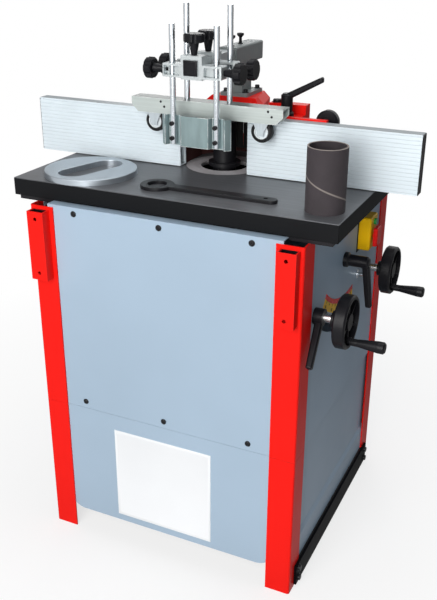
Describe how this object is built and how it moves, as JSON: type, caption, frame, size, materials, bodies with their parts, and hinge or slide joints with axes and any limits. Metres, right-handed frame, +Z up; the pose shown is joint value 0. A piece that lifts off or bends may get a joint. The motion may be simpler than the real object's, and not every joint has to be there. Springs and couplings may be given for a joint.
{
  "type": "spindle moulder",
  "caption": "Floor-standing spindle moulder on a sheet-metal cabinet, with tilting spindle, grooved fences, dust hood, roller hold-down, handwheels and loose table accessories.",
  "frame": {"origin": "on the floor straight under the spindle's axis at no tilt", "axes": "+Z up along the spindle, +X to the operator's right along the fences, +Y away from the operator"},
  "size_m": [0.885, 0.638, 1.194],
  "materials": {
    "red_paint": "gloss powder coat",
    "grey_paint": "smooth light grey paint",
    "black_steel": "blackened steel",
    "table_iron": "machined top, black painted edges",
    "ring_steel": "turned bright steel",
    "bright_steel": "ground steel",
    "dark_casting": "dark grey casting paint",
    "fence_aluminium": "anodised, finely grooved",
    "block_aluminium": "satin",
    "rod_chrome": "polished",
    "zinc_sheet": "zinc plated",
    "motor_paint": "grey paint",
    "belt_rubber": "matt",
    "black_plastic": "fine-grained moulding",
    "yellow_plastic": "moulded",
    "red_plastic": "moulded",
    "green_plastic": "moulded",
    "roller_rubber": "black tread on a pale hub",
    "abrasive_cloth": "brown abrasive"
  },
  "bodies": {
    "cabinet": {"upper_corner_posts": "red_paint", "lower_corner_posts": "red_paint", "front_upper_panel": "grey_paint", "rear_upper_panel": "grey_paint", "left_upper_panel": "grey_paint", "right_upper_panel": "grey_paint", "lower_panels": "grey_paint", "base_bars": "black_steel", "cabinet_fasteners": "black_steel", "socket_brackets": "red_paint", "cable_gland": "black_plastic", "table": "table_iron", "table_mounts": "black_steel", "insert_rings": "ring_steel", "trunnion_plates": "dark_casting", "switch_housing": "yellow_plastic"},
    "stop_paddle": {"stop_paddle": "red_plastic"},
    "start_button": {"start_button": "green_plastic"},
    "tilt_unit": {"tilt_yoke": "dark_casting", "tilt_sector": "dark_casting", "guide_columns": "bright_steel"},
    "tilt_wheel": {"tilt_handwheel": "black_plastic", "tilt_shaft": "bright_steel"},
    "tilt_lever": {"tilt_lock_lever": "black_plastic"},
    "carriage": {"quill_carriage": "dark_casting", "bearings": "bright_steel", "motor": "motor_paint", "drive_belt": "belt_rubber"},
    "height_wheel": {"height_handwheel": "black_plastic", "height_shaft": "bright_steel"},
    "height_lever": {"height_lock_lever": "black_plastic"},
    "spindle_unit": {"spindle": "black_steel", "spindle_rings": "black_steel", "spindle_pulley": "block_aluminium"},
    "motor_rotor": {"motor_pulley": "block_aluminium"},
    "fence_unit": {"fence_housing": "red_paint", "holddown_bracket": "dark_casting"},
    "left_fence": {"left_fence": "fence_aluminium"},
    "right_fence": {"right_fence": "fence_aluminium"},
    "fence_lever": {"fence_clamp_lever": "black_plastic"},
    "fence_knob": {"fence_knob": "black_plastic"},
    "arm": {"holddown_arm": "block_aluminium"},
    "front_block": {"front_clamp_block": "block_aluminium"},
    "rear_block": {"rear_clamp_block": "block_aluminium"},
    "front_block_knob": {"front_block_knob": "black_plastic"},
    "front_left_knob": {"front_left_knob": "black_plastic"},
    "front_right_knob": {"front_right_knob": "black_plastic"},
    "rear_block_knob": {"rear_block_knob": "black_plastic"},
    "rear_left_knob": {"rear_left_knob": "black_plastic"},
    "rear_right_knob": {"rear_right_knob": "black_plastic"},
    "guard": {"front_rods": "rod_chrome", "guard_plate": "zinc_sheet"},
    "roller_unit": {"rear_rods": "rod_chrome", "roller_bar": "zinc_sheet", "roller_forks": "zinc_sheet"},
    "left_roller": {"left_roller": "roller_rubber"},
    "right_roller": {"right_roller": "roller_rubber"},
    "oblong_ring": {"oblong_insert_ring": "ring_steel"},
    "ring_spanner": {"ring_spanner": "black_steel"},
    "sanding_sleeve": {"sanding_sleeve": "abrasive_cloth"}
  },
  "joints": [
    {"name": "tilt", "type": "hinge", "parent": "cabinet", "child": "tilt_unit", "pos_m": [0, 0, 0.85], "axis": [1, 0, 0], "range_deg": [0, 30]},
    {"name": "tilt_wheel_turn", "type": "hinge", "parent": "cabinet", "child": "tilt_wheel", "pos_m": [0.35, 0.11102, 0.62238], "axis": [1, 0, 0], "range_deg": [-481, 1]},
    {"name": "tilt_lever_turn", "type": "hinge", "parent": "cabinet", "child": "tilt_lever", "pos_m": [0.32, -0.03796, 0.68942], "axis": [1, 0, 0], "range_deg": [0, 40]},
    {"name": "height", "type": "slide", "parent": "tilt_unit", "child": "carriage", "axis": [0, 0, 1], "range_m": [-0.0624, 0.039]},
    {"name": "height_wheel_turn", "type": "hinge", "parent": "tilt_unit", "child": "height_wheel", "pos_m": [0.35, -0.222, 0.635], "axis": [1, 0, 0], "range_deg": [-241, 151]},
    {"name": "height_lever_turn", "type": "hinge", "parent": "tilt_unit", "child": "height_lever", "pos_m": [0.31, -0.222, 0.635], "axis": [1, 0, 0], "range_deg": [0, 40]},
    {"name": "spindle_spin", "type": "hinge", "parent": "carriage", "child": "spindle_unit", "pos_m": [0, 0, 0.9], "axis": [0, 0, 1], "continuous": true},
    {"name": "motor_spin", "type": "hinge", "parent": "carriage", "child": "motor_rotor", "pos_m": [0, -0.155, 0.49], "axis": [0, 0, 1], "continuous": true},
    {"name": "fence_slide", "type": "slide", "parent": "cabinet", "child": "fence_unit", "axis": [0, 1, 0], "range_m": [0, 0.04]},
    {"name": "left_fence_slide", "type": "slide", "parent": "fence_unit", "child": "left_fence", "axis": [1, 0, 0], "range_m": [-0.06, 0.04]},
    {"name": "right_fence_slide", "type": "slide", "parent": "fence_unit", "child": "right_fence", "axis": [1, 0, 0], "range_m": [-0.04, 0.06]},
    {"name": "fence_lever_turn", "type": "hinge", "parent": "fence_unit", "child": "fence_lever", "pos_m": [0.136, 0.015, 0.98], "axis": [0, 0, 1], "range_deg": [-20, 60]},
    {"name": "fence_knob_turn", "type": "hinge", "parent": "fence_unit", "child": "fence_knob", "pos_m": [0.228, 0.01, 0.964], "axis": [0, 1, 0], "continuous": true},
    {"name": "arm_slide", "type": "slide", "parent": "fence_unit", "child": "arm", "axis": [0, 1, 0], "range_m": [-0.08, 0]},
    {"name": "front_block_slide", "type": "slide", "parent": "arm", "child": "front_block", "axis": [0, 1, 0], "range_m": [0, 0.012]},
    {"name": "rear_block_slide", "type": "slide", "parent": "arm", "child": "rear_block", "axis": [0, 1, 0], "range_m": [-0.015, 0]},
    {"name": "front_block_knob_turn", "type": "hinge", "parent": "front_block", "child": "front_block_knob", "pos_m": [0, -0.145, 1.12], "axis": [0, 0, 1], "range_deg": [0, 270]},
    {"name": "front_left_knob_turn", "type": "hinge", "parent": "front_block", "child": "front_left_knob", "pos_m": [-0.08, -0.145, 1.073], "axis": [-1, 0, 0], "range_deg": [0, 270]},
    {"name": "front_right_knob_turn", "type": "hinge", "parent": "front_block", "child": "front_right_knob", "pos_m": [0.08, -0.145, 1.073], "axis": [1, 0, 0], "range_deg": [0, 270]},
    {"name": "rear_block_knob_turn", "type": "hinge", "parent": "rear_block", "child": "rear_block_knob", "pos_m": [0, -0.082, 1.12], "axis": [0, 0, 1], "range_deg": [0, 270]},
    {"name": "rear_left_knob_turn", "type": "hinge", "parent": "rear_block", "child": "rear_left_knob", "pos_m": [-0.08, -0.082, 1.073], "axis": [-1, 0, 0], "range_deg": [0, 270]},
    {"name": "rear_right_knob_turn", "type": "hinge", "parent": "rear_block", "child": "rear_right_knob", "pos_m": [0.08, -0.082, 1.073], "axis": [1, 0, 0], "range_deg": [0, 270]},
    {"name": "guard_slide", "type": "slide", "parent": "front_block", "child": "guard", "axis": [0, 0, 1], "range_m": [-0.06, 0.07]},
    {"name": "roller_slide", "type": "slide", "parent": "rear_block", "child": "roller_unit", "axis": [0, 0, 1], "range_m": [-0.065, 0.045]},
    {"name": "left_roller_spin", "type": "hinge", "parent": "roller_unit", "child": "left_roller", "pos_m": [-0.122, -0.082, 0.953], "axis": [0, 1, 0], "continuous": true},
    {"name": "right_roller_spin", "type": "hinge", "parent": "roller_unit", "child": "right_roller", "pos_m": [0.122, -0.082, 0.953], "axis": [0, 1, 0], "continuous": true},
    {"name": "stop_paddle_press", "type": "slide", "parent": "cabinet", "child": "stop_paddle", "axis": [-1, 0, 0], "range_m": [0, 0.004], "stiffness_N_per_m": 800},
    {"name": "start_button_press", "type": "slide", "parent": "cabinet", "child": "start_button", "axis": [-1, 0, 0], "range_m": [0, 0.003], "stiffness_N_per_m": 600},
    {"name": "oblong_ring_lift", "type": "slide", "parent": "cabinet", "child": "oblong_ring", "axis": [0, 0, 1], "range_m": [0, 0.15]},
    {"name": "spanner_lift", "type": "slide", "parent": "cabinet", "child": "ring_spanner", "axis": [0, 0, 1], "range_m": [0, 0.15]},
    {"name": "sleeve_lift", "type": "slide", "parent": "cabinet", "child": "sanding_sleeve", "axis": [0, 0, 1], "range_m": [0, 0.15]}
  ],
  "couplings": [
    {"joint": "tilt_wheel_turn", "follows": "tilt", "ratio": -16},
    {"joint": "height_wheel_turn", "follows": "height", "rad_per_m": 67.128},
    {"joint": "motor_spin", "follows": "spindle_spin", "ratio": 0.62222}
  ]
}
